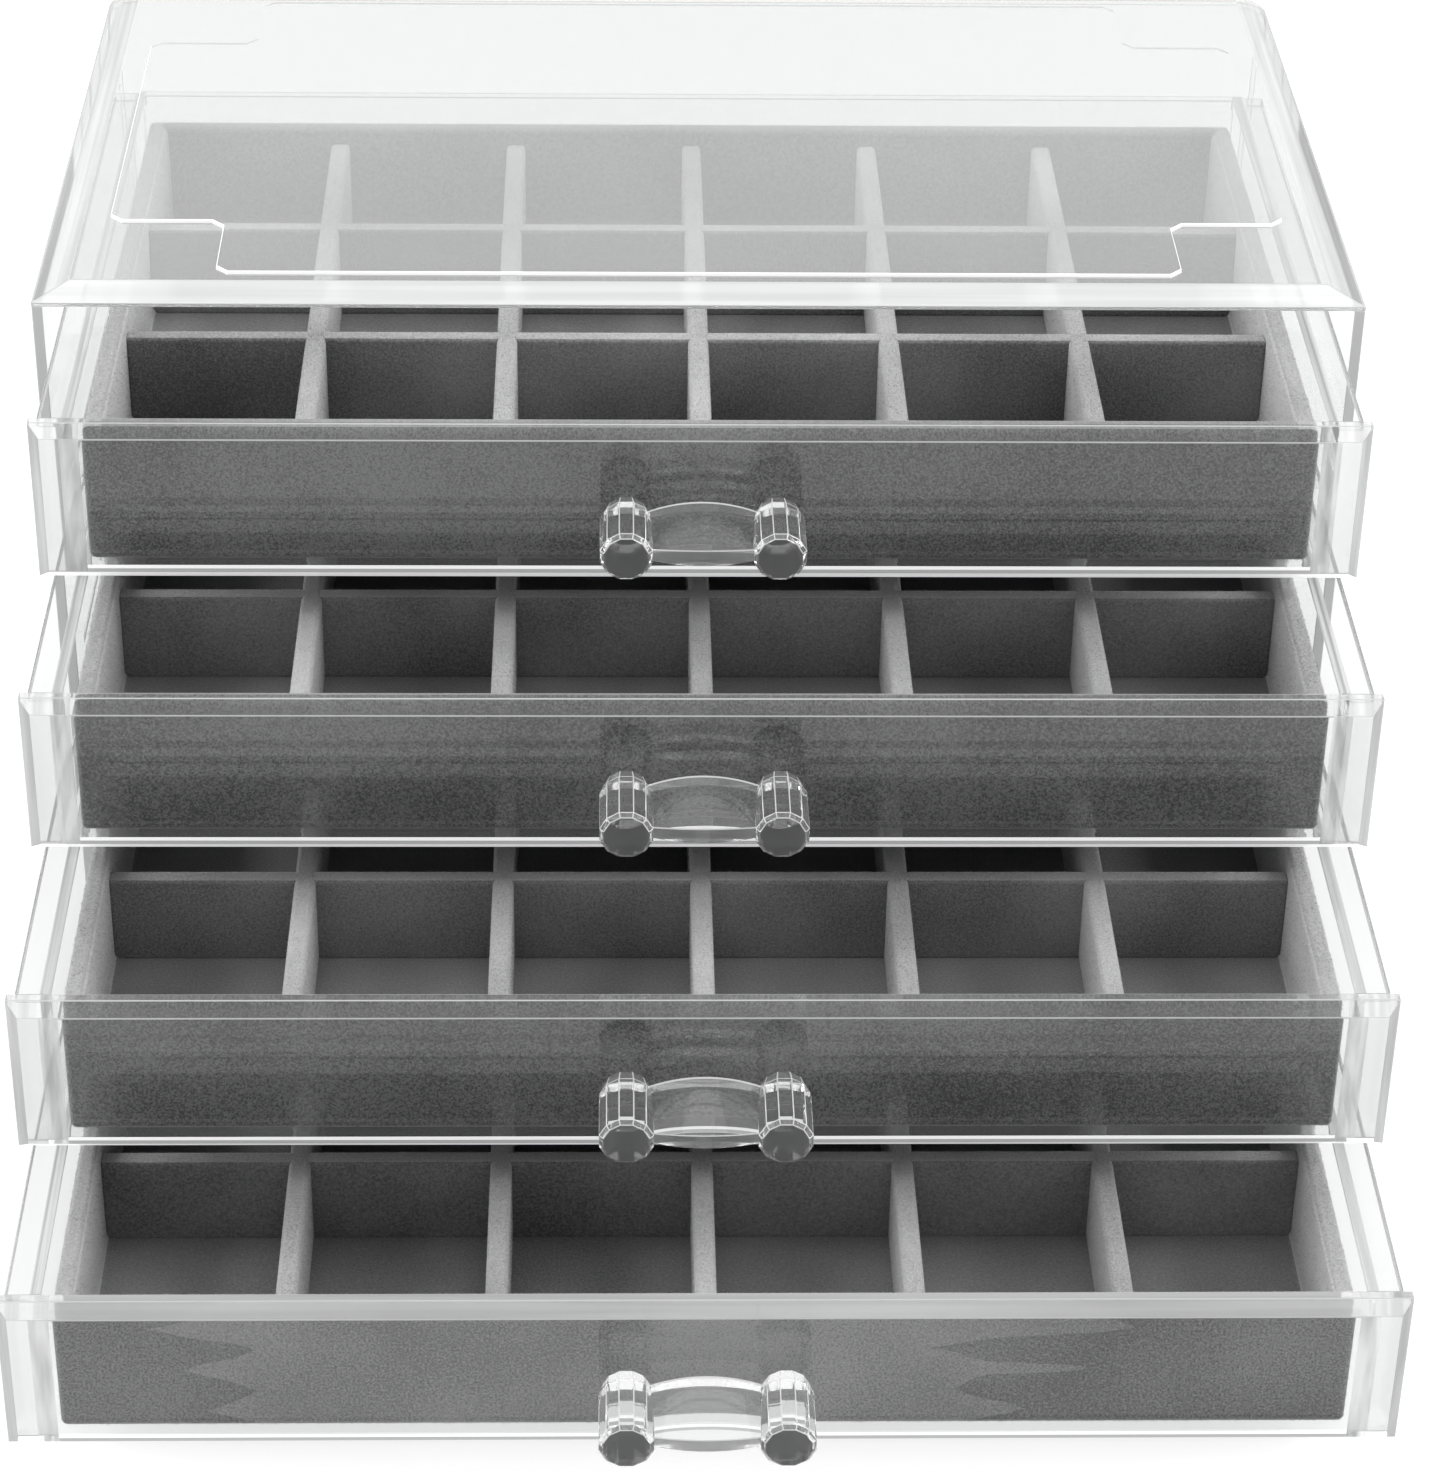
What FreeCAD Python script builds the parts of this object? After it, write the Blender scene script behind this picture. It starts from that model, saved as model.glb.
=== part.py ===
"""Clear jewellery organizer box: an open-fronted case with four drawers lined in velvet.

Millimetres. +Z is up and the drawers open towards -Y. The pieces are drawn with y = 0 at the
middle of the case, and then set so that the origin is on the surface that the box stands on,
under the middle of the whole box with its drawers open.
"""
import FreeCAD, Part
import math
import os

# Case
case_width = 238.0
case_depth = 140.0
wall = 2.0
rear_corner_radius = 5.0
base_thickness = 2.3
cover_thickness = 2.3
cover_edge = 0.75
cover_bevel_width = 6.2
headroom = 9.65
shelf_thickness = 2.0
shelf_setback = 10.0

# Raised field on the cover, with a notch at each corner for the feet of a box stacked above
pad_height = 0.8
pad_side_margin = 11.1
pad_end_margin = 8.3
pad_notch = 21.0
pad_corner_cut = 2.2
foot_height = 1.6
foot_clearance = 1.0

# Drawer front
drawer_count = 4
front_side_inset = 1.5
front_height = 30.8
front_gap = 3.93
front_straight = 1.8
front_bevel_depth = 2.3
front_bevel_width = 2.1
front_lip = 1.6

# Tray
tray_wall = 2.0
tray_floor = 1.2
tray_rear_wall = 2.2
tray_rear_clearance = 1.6
rim_thickness = 2.0
rim_overhang = 4.15
rim_clearance = 0.95
slide_gap = 0.4

# Velvet insert
insert_side_clearance = 1.4
insert_front_clearance = 0.3
insert_rear_clearance = 6.0
insert_wall = 3.5
insert_floor = 5.0
insert_drop = 2.7
divider_drop = 3.3
column_count = 6
outer_column_extra = 1.4
long_divider_thickness = 3.7
cross_divider_thickness = 3.4
cross_divider_places = (0.339, 0.679)
divider_slot_clearance = 0.1

# Handle
handle_drop = 17.2
post_sides = 12
post_width = 9.2
post_spacing = 26.7
post_length = 14.6
post_disc = 7.8
post_root = 7.8
post_root_taper = 2.8
bridge_tuck = 2.0
bridge_end_section = ((1.6, 1.4), (12.2, 0.6), (11.8, -1.5), (1.8, -1.2))
bridge_middle_section = ((1.1, 3.8), (14.4, 1.4), (12.4, -2.9), (1.3, 0.6))

# How far each drawer stands open, from the top one down, where 1 is as far as it is meant to go
drawer_openness = (0.1747, 0.4322, 0.7299, 1.0)
tray_kept_inside = 2.2

# Derived sizes
half_width = case_width / 2
half_depth = case_depth / 2
inner_half_width = half_width - wall
inner_rear = half_depth - wall
front_thickness = front_straight + front_bevel_depth
front_pitch = front_height + front_gap
tray_height = front_height - front_lip
tray_length = case_depth - wall - tray_rear_clearance
full_pull = tray_length - tray_kept_inside
rim_half_width = inner_half_width - rim_clearance
tray_half_width = rim_half_width - rim_overhang
insert_half_width = tray_half_width - tray_wall - insert_side_clearance
insert_rear = tray_length - tray_rear_wall - insert_rear_clearance
insert_bottom = -tray_height + tray_floor
cell_floor = insert_bottom + insert_floor
divider_top = -insert_drop - divider_drop
field_half_width = insert_half_width - insert_wall
field_front = insert_front_clearance + insert_wall
field_rear = insert_rear - insert_wall
base_top = foot_height + base_thickness
lowest_front_top = base_top + slide_gap + tray_height
highest_front_top = lowest_front_top + (drawer_count - 1) * front_pitch
cover_bottom = highest_front_top + headroom
cover_top = cover_bottom + cover_thickness


def box(x, y, z):
    """Box from three (low, high) pairs."""
    low = FreeCAD.Vector(x[0], y[0], z[0])
    return Part.makeBox(x[1] - x[0], y[1] - y[0], z[1] - z[0], low)


def prism(points, along):
    """Solid swept from a closed outline of 3-D points along a vector."""
    corners = [FreeCAD.Vector(*point) for point in points]
    outline = Part.makePolygon(corners + corners[:1])
    return Part.Face(outline).extrude(FreeCAD.Vector(*along))


def fuse(shapes):
    """One solid from shapes that touch or overlap."""
    return shapes[0].multiFuse(shapes[1:]).removeSplitter()


def round_rear_corners(slab, rear, radius):
    """Fillet the two upright edges at the rear of a slab."""
    edges = []
    for edge in slab.Edges:
        ends = [vertex.Point for vertex in edge.Vertexes]
        at_rear = all(abs(point.y - rear) < 1e-6 for point in ends)
        if at_rear and abs(ends[0].z - ends[1].z) > 1e-6:
            edges.append(edge)
    return slab.makeFillet(radius, edges)


def outer_slab(z_low, z_high):
    """The case's full outline between two heights."""
    slab = box((-half_width, half_width), (-half_depth, half_depth), (z_low, z_high))
    return round_rear_corners(slab, half_depth, rear_corner_radius)


def inner_slab(z_low, z_high):
    """The space inside the walls between two heights."""
    slab = box((-inner_half_width, inner_half_width), (-half_depth, inner_rear), (z_low, z_high))
    return round_rear_corners(slab, inner_rear, rear_corner_radius - wall)


# The cover

def bevel_section(reach):
    """Outline of what the bevel takes off, as (distance out, height) pairs."""
    slope = cover_bevel_width / (cover_thickness - cover_edge)
    bevel_foot = cover_bottom + cover_edge
    past = 1.0
    return [
        (reach, bevel_foot),
        (reach + past, bevel_foot),
        (reach + past, cover_top + past),
        (reach - cover_bevel_width - slope * past, cover_top + past),
    ]


def cover_plate():
    """Top plate with a bevel along its front and both sides, mitred at the corners."""
    plate = outer_slab(cover_bottom, cover_top)
    for side in (-1, 1):
        section = [(side * out, -half_depth, z) for out, z in bevel_section(half_width)]
        plate = plate.cut(prism(section, (0, case_depth, 0)))
    section = [(-half_width, -out, z) for out, z in bevel_section(half_depth)]
    return plate.cut(prism(section, (case_width, 0, 0)))


def notched_outline():
    """Plan outline of the raised field, walked once round its four notched corners."""
    reach_x = half_width - pad_side_margin
    reach_y = half_depth - pad_end_margin
    inner_x = reach_x - pad_notch
    inner_y = reach_y - pad_notch
    cut = pad_corner_cut
    corner = [
        (inner_x - cut, reach_y),
        (inner_x, reach_y - cut),
        (inner_x, inner_y + cut),
        (inner_x + cut, inner_y),
        (reach_x - cut, inner_y),
        (reach_x, inner_y - cut),
    ]
    outline = []
    for side_x, side_y in ((1, 1), (1, -1), (-1, -1), (-1, 1)):
        points = [(side_x * x, side_y * y) for x, y in corner]
        outline += points if side_x == side_y else points[::-1]
    return outline


def top_cover():
    points = [(x, y, cover_top) for x, y in notched_outline()]
    return fuse([cover_plate(), prism(points, (0, 0, pad_height))])


# The walls, base, shelves and feet

def wall_shell():
    """Side walls and back wall in one bent strip, open to the front."""
    return outer_slab(base_top, cover_bottom).cut(inner_slab(base_top, cover_bottom))


def wall_part(x, y):
    """The stretch of the wall strip that lies inside a plan rectangle."""
    return wall_shell().common(box(x, y, (base_top, cover_bottom)))


def base_panel():
    return outer_slab(foot_height, base_top)


def shelf(front_top):
    """Shelf under the drawer whose front has its top edge at this height."""
    top = front_top - tray_height - slide_gap
    reach = box(
        (-inner_half_width, inner_half_width),
        (-half_depth + shelf_setback, inner_rear),
        (top - shelf_thickness, top),
    )
    return inner_slab(top - shelf_thickness, top).common(reach)


def corner_feet():
    """Four square feet, placed and sized to sit in the notches of a box below."""
    far_x = half_width - pad_side_margin
    far_y = half_depth - pad_end_margin
    near_x = far_x - pad_notch + foot_clearance
    near_y = far_y - pad_notch + foot_clearance
    feet = []
    for side_x in (-1, 1):
        for side_y in (-1, 1):
            x = sorted((side_x * near_x, side_x * far_x))
            y = sorted((side_y * near_y, side_y * far_y))
            feet.append(box(x, y, (0, foot_height)))
    return Part.makeCompound(feet)


# One drawer. Its frame has y = 0 at the rear face of the front and z = 0 at its top edge.

def front_rectangle(y, inset):
    """Rectangle wire of the front at depth y, drawn in by inset."""
    x = half_width - front_side_inset - inset
    low = -front_height + inset
    corners = [(-x, y, low), (x, y, low), (x, y, -inset), (-x, y, -inset)]
    points = [FreeCAD.Vector(*corner) for corner in corners]
    return Part.makePolygon(points + points[:1])


def drawer_front():
    """Flat plate with a bevel round its front face."""
    x = half_width - front_side_inset
    straight = box((-x, x), (-front_straight, 0), (-front_height, 0))
    wide = front_rectangle(-front_straight, 0)
    narrow = front_rectangle(-front_thickness, front_bevel_width)
    bevelled = Part.makeLoft([wide, narrow], True, True)
    return fuse([straight, bevelled])


def drawer_tray():
    """Open tray with a rim along each side."""
    x = tray_half_width
    pieces = [
        box((-x, x), (0, tray_length), (-tray_height, -tray_height + tray_floor)),
        box((-x, x), (tray_length - tray_rear_wall, tray_length), (-tray_height, 0)),
    ]
    for side in (-1, 1):
        upright = sorted((side * x, side * (x - tray_wall)))
        rim = sorted((side * (x - tray_wall), side * rim_half_width))
        pieces.append(box(upright, (0, tray_length), (-tray_height, 0)))
        pieces.append(box(rim, (0, tray_length), (-rim_thickness, 0)))
    return fuse(pieces)


def drawer_insert():
    """Padded floor with a wall round it."""
    x = insert_half_width
    block = box((-x, x), (insert_front_clearance, insert_rear), (insert_bottom, -insert_drop))
    room = box(
        (-field_half_width, field_half_width), (field_front, field_rear), (cell_floor, 0))
    return block.cut(room)


def column_pitch():
    """Spacing of the long dividers; the outermost columns are a little wider."""
    return (2 * field_half_width + long_divider_thickness - 2 * outer_column_extra) / column_count


def long_divider_centres():
    middle = (column_count - 2) / 2
    return [(index - middle) * column_pitch() for index in range(column_count - 1)]


def cross_divider_centres():
    length = insert_rear - insert_front_clearance
    return [insert_front_clearance + place * length for place in cross_divider_places]


def long_dividers():
    """Dividers that run front to back, slotted from above for the cross dividers."""
    half_lap = (cell_floor + divider_top) / 2
    half_slot = cross_divider_thickness / 2 + divider_slot_clearance
    dividers = []
    for centre in long_divider_centres():
        x = (centre - long_divider_thickness / 2, centre + long_divider_thickness / 2)
        strip = box(x, (field_front, field_rear), (cell_floor, divider_top))
        for crossing in cross_divider_centres():
            slot = (crossing - half_slot, crossing + half_slot)
            strip = strip.cut(box(x, slot, (half_lap, divider_top)))
        dividers.append(strip)
    return Part.makeCompound(dividers)


def cross_dividers():
    """Dividers that run side to side, slotted from below for the long dividers."""
    half_lap = (cell_floor + divider_top) / 2 + divider_slot_clearance
    half_slot = long_divider_thickness / 2 + divider_slot_clearance
    dividers = []
    for centre in cross_divider_centres():
        y = (centre - cross_divider_thickness / 2, centre + cross_divider_thickness / 2)
        strip = box((-field_half_width, field_half_width), y, (cell_floor, divider_top))
        for crossing in long_divider_centres():
            slot = (crossing - half_slot, crossing + half_slot)
            strip = strip.cut(box(slot, y, (cell_floor, half_lap)))
        dividers.append(strip)
    return Part.makeCompound(dividers)


def handle_post(centre):
    """Faceted post, chamfered at the end to a round disc and tapered at its root."""
    corner_radius = post_width / 2 / math.cos(math.pi / post_sides)
    corners = []
    for index in range(post_sides):
        angle = math.pi / post_sides * (2 * index + 1)
        x = centre + corner_radius * math.sin(angle)
        corners.append((x, 0, corner_radius * math.cos(angle)))
    post = prism(corners, (0, -post_length, 0))
    disc = post_disc / 2
    foot = FreeCAD.Vector(centre, 0, 0)
    outward = FreeCAD.Vector(0, -1, 0)
    chamfer = Part.makeCone(disc + post_length, disc, post_length, foot, outward)
    root = post_root / 2
    spread = (post_width - post_root) / 2 / post_root_taper * post_length
    taper = Part.makeCone(root, root + spread, post_length, foot, outward)
    return post.common(chamfer).common(taper)


def bridge_wire(x, section):
    """Closed outline of the grip at x, from (distance out of the front, height) pairs."""
    points = [FreeCAD.Vector(x, -out, z) for out, z in section]
    return Part.makePolygon(points + points[:1])


def drawer_handle():
    """Two posts joined by a grip that swells towards its middle."""
    end = post_spacing / 2 - bridge_tuck
    wires = [
        bridge_wire(-end, bridge_end_section),
        bridge_wire(0, bridge_middle_section),
        bridge_wire(end, bridge_end_section),
    ]
    bridge = Part.makeLoft(wires, True, False)
    posts = [handle_post(side * post_spacing / 2) for side in (-1, 1)]
    handle = fuse([bridge] + posts)
    handle.translate(FreeCAD.Vector(0, -front_thickness, -handle_drop))
    return handle


def drawer_pieces():
    return {
        "front": drawer_front(),
        "tray": drawer_tray(),
        "insert": drawer_insert(),
        "long_dividers": long_dividers(),
        "cross_dividers": cross_dividers(),
        "handle": drawer_handle(),
    }


def frontmost_reach():
    """How far the grip of the most open drawer stands out from the middle of the case."""
    grip = max(out for out, _ in bridge_middle_section)
    return half_depth + full_pull * max(drawer_openness) + front_thickness + grip


def all_parts():
    """Every piece in its place, by name."""
    seam = half_depth - rear_corner_radius
    parts = {
        "top_cover": top_cover(),
        "left_wall": wall_part((-half_width, 0), (-half_depth, seam)),
        "right_wall": wall_part((0, half_width), (-half_depth, seam)),
        "back_wall": wall_part((-half_width, half_width), (seam, half_depth)),
        "base_panel": base_panel(),
        "corner_feet": corner_feet(),
    }
    for index in range(drawer_count):
        front_top = highest_front_top - index * front_pitch
        if index < drawer_count - 1:
            parts[f"shelf_{index + 1}"] = shelf(front_top)
        pull = drawer_openness[index] * full_pull
        place = FreeCAD.Vector(0, -half_depth - pull, front_top)
        for name, shape in drawer_pieces().items():
            shape.translate(place)
            parts[f"drawer_{index + 1}_{name}"] = shape
    return parts


centring = FreeCAD.Vector(0, (frontmost_reach() - half_depth) / 2, 0)
os.makedirs("parts", exist_ok=True)
for name, shape in all_parts().items():
    shape.translate(centring)
    shape.exportStep(f"parts/{name}.step")
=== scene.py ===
"""Clear jewellery organizer box with four drawers lined in velvet, dressed over its CAD frame."""
import logging
import math
from dataclasses import dataclass
from enum import Enum
from typing import Callable, Iterable, Sequence

import bmesh
import bpy
from mathutils import Matrix, Vector


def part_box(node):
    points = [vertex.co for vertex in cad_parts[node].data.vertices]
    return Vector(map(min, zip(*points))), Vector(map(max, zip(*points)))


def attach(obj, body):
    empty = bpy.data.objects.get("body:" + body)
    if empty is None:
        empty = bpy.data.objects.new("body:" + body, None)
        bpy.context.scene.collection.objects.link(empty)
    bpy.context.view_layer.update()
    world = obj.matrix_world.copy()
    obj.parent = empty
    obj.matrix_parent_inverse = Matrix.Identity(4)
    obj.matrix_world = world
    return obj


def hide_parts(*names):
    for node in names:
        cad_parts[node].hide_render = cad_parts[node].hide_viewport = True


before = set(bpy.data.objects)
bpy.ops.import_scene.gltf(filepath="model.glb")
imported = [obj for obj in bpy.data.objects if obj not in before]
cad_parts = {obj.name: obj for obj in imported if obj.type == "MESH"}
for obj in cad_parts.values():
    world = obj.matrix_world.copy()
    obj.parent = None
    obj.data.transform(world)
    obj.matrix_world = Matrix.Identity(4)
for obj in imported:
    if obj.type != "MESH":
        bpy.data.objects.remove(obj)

LOG = logging.getLogger("jewellery_box")
IMAGE_WIDTH = 1429
IMAGE_HEIGHT = 1471
SENSOR_MM = 36.0

MM = 0.001
SEAM = 0.00003
MERGE = 0.000001
CRISP_ANGLE = 12.0
PADDED_ANGLE = 50.0
ALONG_X = (1.0, 0.0, 0.0)
ALONG_Z = (0.0, 0.0, 1.0)

# How far a face's normal points along an axis.
SQUARE = 0.9
MOSTLY = 0.6
HALF = 0.5
PARTLY = 0.3
BARELY = 0.1

WHITE = (1.0, 1.0, 1.0)
SHADOW_TINT = 0.95
PATCH_SCALE = 26.0
SHEEN = 0.6
BUMP_DEPTH = 0.4 * MM
MIX_FIRST, MIX_SECOND, MIX_RESULT = 6, 7, 2

# Brushed patches at both ends of a front's velvet, with a zig-zag edge.
ZIGZAG_PITCH = 0.0045
ZIGZAG_SLOPE = 4.0
ZIGZAG_WANDER = 0.018
ZIGZAG_LEAN = -0.6
ZIGZAG_START = 0.1
ZIGZAG_SHIFT = 0.018
BRUSHED_TONE = 0.1

Point = tuple[float, float, float]
Box = tuple[Point, Point]
Section = tuple[tuple[float, float], ...]
Skin = bmesh.types.BMesh
Face = bpy.types.MeshPolygon
Tree = bpy.types.NodeTree
Node = bpy.types.Node
Socket = bpy.types.NodeSocket
Accents = Sequence[tuple["Surface", Callable[[Face], bool]]]
Feeds = dict[str | int, object]


# Materials

class Surface(Enum):
    """What a piece is made of; some are copies that carry painted light and shade."""

    COVER = "cover_plastic"
    WALL = "wall_plastic"
    FRONT = "front_plastic"
    TRAY = "tray_plastic"
    HANDLE = "handle_plastic"
    FEET = "feet_plastic"
    EDGE = "edge_plastic"
    FACET_EDGE = "facet_edge_plastic"
    DISC = "disc_plastic"
    RIM = "rim_plastic"
    WALL_TOP = "wall_top_plastic"
    WALL_END = "wall_end_plastic"
    GLINT = "glint_plastic"
    BAND = "band_plastic"
    BAND_PALE = "band_pale_plastic"
    LIP = "lip_plastic"
    SIDE = "side_plastic"
    BEVEL = "bevel_plastic"
    BEVEL_SIDE = "bevel_side_plastic"
    EDGE_GREY = "edge_grey_plastic"
    VELVET = "insert_velvet"
    DIVIDER = "divider_velvet"
    FRONT_CLOTH = "front_velvet"
    FRONT_CLOTH_PALE = "front_pale_velvet"
    SIDE_CLOTH = "side_velvet"
    CROSS_CLOTH = "cross_velvet"
    PILE = "pile_velvet"
    FRONT_PILE = "front_pile_velvet"


@dataclass(frozen=True)
class ClearFinish:
    """Clear plastic: its tint, gloss, bending of light, haze, painted edge glow and streaks."""

    tint: Point
    roughness: float = 0.0
    ior: float = 1.05
    haze: float = 0.0
    glow: float = 0.0
    streaks: Point | None = None
    streak_low: float = 0.8


@dataclass(frozen=True)
class VelvetFinish:
    """Short pile cloth: a dark ground whose pile catches light."""

    dark: Point
    light: Point
    grain_scale: float = 2300.0
    grain: float = 1.1
    bump: float = 0.35
    brushed: float = 0.0


def cool(tone: float) -> Point:
    """Light grey with a trace of blue-green, as clear plastic has."""
    return (tone, tone + 0.005, tone + 0.005)


CLEAR: dict[Surface, ClearFinish] = {
    Surface.COVER: ClearFinish(cool(0.81), ior=1.12, haze=0.25),
    Surface.WALL: ClearFinish(cool(0.93), ior=1.04, haze=0.02),
    Surface.FRONT: ClearFinish(cool(0.96), ior=1.42, haze=0.02),
    Surface.TRAY: ClearFinish(cool(0.93), ior=1.03, haze=0.02),
    Surface.HANDLE: ClearFinish(cool(0.88), ior=1.33, haze=0.04),
    # Painted shade: the posts' clear end discs are painted dark, standing in for the dark velvet
    # seen through them.
    Surface.DISC: ClearFinish((0.14, 0.141, 0.141), ior=1.2, haze=0.55),
    Surface.FEET: ClearFinish(cool(0.985), roughness=0.2, ior=1.49),
    # Painted light: roundings and sheet ends are grey with a faint painted glow, standing in for
    # light carried along the clear sheets.
    Surface.EDGE: ClearFinish(cool(0.5), haze=1.0, glow=0.12),
    # Painted highlight: pale, faintly glowing lines on the handle's upper roundings and on the
    # grip's top strip.
    Surface.FACET_EDGE: ClearFinish(cool(0.95), haze=0.5, glow=0.1),
    Surface.GLINT: ClearFinish(cool(0.72), roughness=0.3, ior=1.1, haze=0.7),
    # Painted highlight: bright white lines that glow though no lamp is there, on the cover's
    # raised step and along the fronts' lower edges.
    Surface.LIP: ClearFinish((0.95, 0.95, 0.95), roughness=0.3, ior=1.49, haze=1.0, glow=0.4),
    Surface.BAND: ClearFinish(cool(0.93), ior=1.1, haze=0.1),
    # Painted light: the lowest drawer's top band is a paler, hazier copy, for the light that
    # reaches it from the white floor.
    Surface.BAND_PALE: ClearFinish(
        cool(0.95), ior=1.1, haze=0.45, streaks=(10.0, 400.0, 400.0)),
    Surface.SIDE: ClearFinish(
        cool(0.85), haze=0.35, streaks=(300.0, 300.0, 12.0), streak_low=0.92),
    Surface.RIM: ClearFinish(
        cool(0.84), ior=1.02, haze=0.15, streaks=(200.0, 10.0, 10.0), streak_low=0.93),
    Surface.WALL_TOP: ClearFinish(
        cool(0.72), ior=1.02, haze=0.75, streaks=(1500.0, 12.0, 12.0), streak_low=0.7),
    Surface.WALL_END: ClearFinish(
        cool(0.95), ior=1.02, haze=0.75, streaks=(420.0, 420.0, 60.0), streak_low=0.66),
    Surface.BEVEL: ClearFinish(
        cool(0.93), haze=0.68, streaks=(12.0, 500.0, 500.0), streak_low=0.88),
    Surface.BEVEL_SIDE: ClearFinish(
        cool(0.9), haze=0.3, streaks=(700.0, 10.0, 10.0), streak_low=0.72),
    Surface.EDGE_GREY: ClearFinish(
        cool(0.52), haze=1.0, streaks=(600.0, 10.0, 40.0), streak_low=0.78),
}
# One velvet in lit and shaded copies, as painted light and shade. The base tone is on floors and
# on the front and back walls' tops. Lighter copies are on divider strips, the side walls' tops and
# the inner side walls, where the lamps fall. Darker copies are on faces turned to the front and on
# the outer front behind the clear plate, which has darker fibres too. The lowest drawer's outer
# front is a paler copy with brushed patches.
VELVET: dict[Surface, VelvetFinish] = {
    Surface.VELVET: VelvetFinish((0.14, 0.14, 0.142), (0.36, 0.36, 0.363)),
    Surface.DIVIDER: VelvetFinish((0.27, 0.27, 0.272), (0.56, 0.56, 0.564)),
    Surface.SIDE_CLOTH: VelvetFinish((0.37, 0.37, 0.372), (0.72, 0.72, 0.724)),
    Surface.CROSS_CLOTH: VelvetFinish((0.1, 0.1, 0.101), (0.35, 0.35, 0.353), grain=1.2),
    Surface.FRONT_CLOTH: VelvetFinish(
        (0.015, 0.015, 0.0152), (0.175, 0.175, 0.177), grain_scale=2600.0, grain=2.7),
    Surface.FRONT_CLOTH_PALE: VelvetFinish(
        (0.07, 0.07, 0.0706), (0.27, 0.27, 0.273), grain_scale=2400.0, grain=2.5, brushed=0.9),
    Surface.PILE: VelvetFinish((0.2, 0.2, 0.202), (0.55, 0.55, 0.553), bump=0.0),
    Surface.FRONT_PILE: VelvetFinish((0.06, 0.06, 0.061), (0.2, 0.2, 0.202), bump=0.0),
}


def rgba(colour: Iterable[float], by: float = 1.0) -> tuple[float, ...]:
    """Opaque colour, dimmed by a factor."""
    return (*(channel * by for channel in colour), 1.0)


def feed(node: Node, feeds: Feeds) -> None:
    """Fill a node's inputs.

    Args:
        node: The node.
        feeds: For each input, the socket that is linked to it or the value that it takes.
    """
    for name, source in feeds.items():
        if isinstance(source, Socket):
            node.id_data.links.new(source, node.inputs[name])
        else:
            node.inputs[name].default_value = source


def add_node(
    tree: Tree, kind: str, feeds: Feeds | None = None, **settings: object,
) -> Node:
    """New node in a tree.

    Args:
        tree: Where it goes.
        kind: Its type.
        feeds: What its inputs take.
        settings: Its own settings, made before its inputs are filled.

    Returns:
        The node.
    """
    node = tree.nodes.new(kind)
    for name, setting in settings.items():
        setattr(node, name, setting)
    feed(node, feeds or {})
    return node


def maths(tree: Tree, operation: str, *terms: object) -> Socket:
    """Result of a Math node on sockets or numbers."""
    return add_node(
        tree, "ShaderNodeMath", dict(enumerate(terms)), operation=operation).outputs[0]


def blend(
    tree: Tree, factor: object, first: object, second: object, **settings: object,
) -> Socket:
    """Result of a Mix node on two colours."""
    feeds = {"Factor": factor, MIX_FIRST: first, MIX_SECOND: second}
    return add_node(
        tree, "ShaderNodeMix", feeds, data_type="RGBA", **settings).outputs[MIX_RESULT]


def show_mixed(
    tree: Tree, factor: Socket, first: Node,
    second: Node, output: str,
) -> None:
    """Mix two shaders into a tree's output.

    Args:
        tree: The material's or the world's tree.
        factor: How much of the second shader shows.
        first: The first shader.
        second: The second shader.
        output: The name of the output node.
    """
    mix = add_node(
        tree, "ShaderNodeMixShader", {"Fac": factor, 1: first.outputs[0], 2: second.outputs[0]})
    feed(tree.nodes[output], {"Surface": mix.outputs["Shader"]})


def principled(name: str) -> tuple[bpy.types.Material, Node]:
    """New node material.

    Args:
        name: The material's name.

    Returns:
        The material and its Principled BSDF.
    """
    material = bpy.data.materials.new(name)
    material.use_nodes = True
    return material, material.node_tree.nodes["Principled BSDF"]


def group(
    name: str,
    inputs: Sequence[tuple[str, str]],
    outputs: Sequence[tuple[str, str]],
    kind: str = "ShaderNodeTree",
) -> tuple[Tree, Node, Node]:
    """Empty node group.

    Args:
        name: The group's name.
        inputs: Name and kind of each input socket.
        outputs: Name and kind of each output socket.
        kind: What sort of tree it is.

    Returns:
        The group, its input node and its output node.
    """
    tree = bpy.data.node_groups.new(name, kind)
    for side, sockets in (("INPUT", inputs), ("OUTPUT", outputs)):
        for socket, sort in sockets:
            tree.interface.new_socket(name=socket, in_out=side, socket_type=f"NodeSocket{sort}")
    return tree, tree.nodes.new("NodeGroupInput"), tree.nodes.new("NodeGroupOutput")


def streak_group() -> Tree:
    """Fine parallel streaks in clear plastic, as a colour that tints it.

    Returns:
        The node group.
    """
    tree, start, end = group(
        "streaks", (("Scale", "Vector"), ("Low", "Color"), ("High", "Color")),
        (("Color", "Color"),))
    place = add_node(tree, "ShaderNodeTexCoord")
    stretch = add_node(
        tree, "ShaderNodeVectorMath", {0: place.outputs["Object"], 1: start.outputs["Scale"]},
        operation="MULTIPLY")
    noise = add_node(
        tree, "ShaderNodeTexNoise",
        {"Vector": stretch.outputs["Vector"], "Scale": 1.0, "Detail": 2.0})
    spread = add_node(
        tree, "ShaderNodeMapRange",
        {"Value": noise.outputs["Fac"], "From Min": 0.35, "From Max": 0.65})
    feed(end, {"Color": blend(
        tree, spread.outputs["Result"], start.outputs["Low"], start.outputs["High"])})
    return tree


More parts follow.
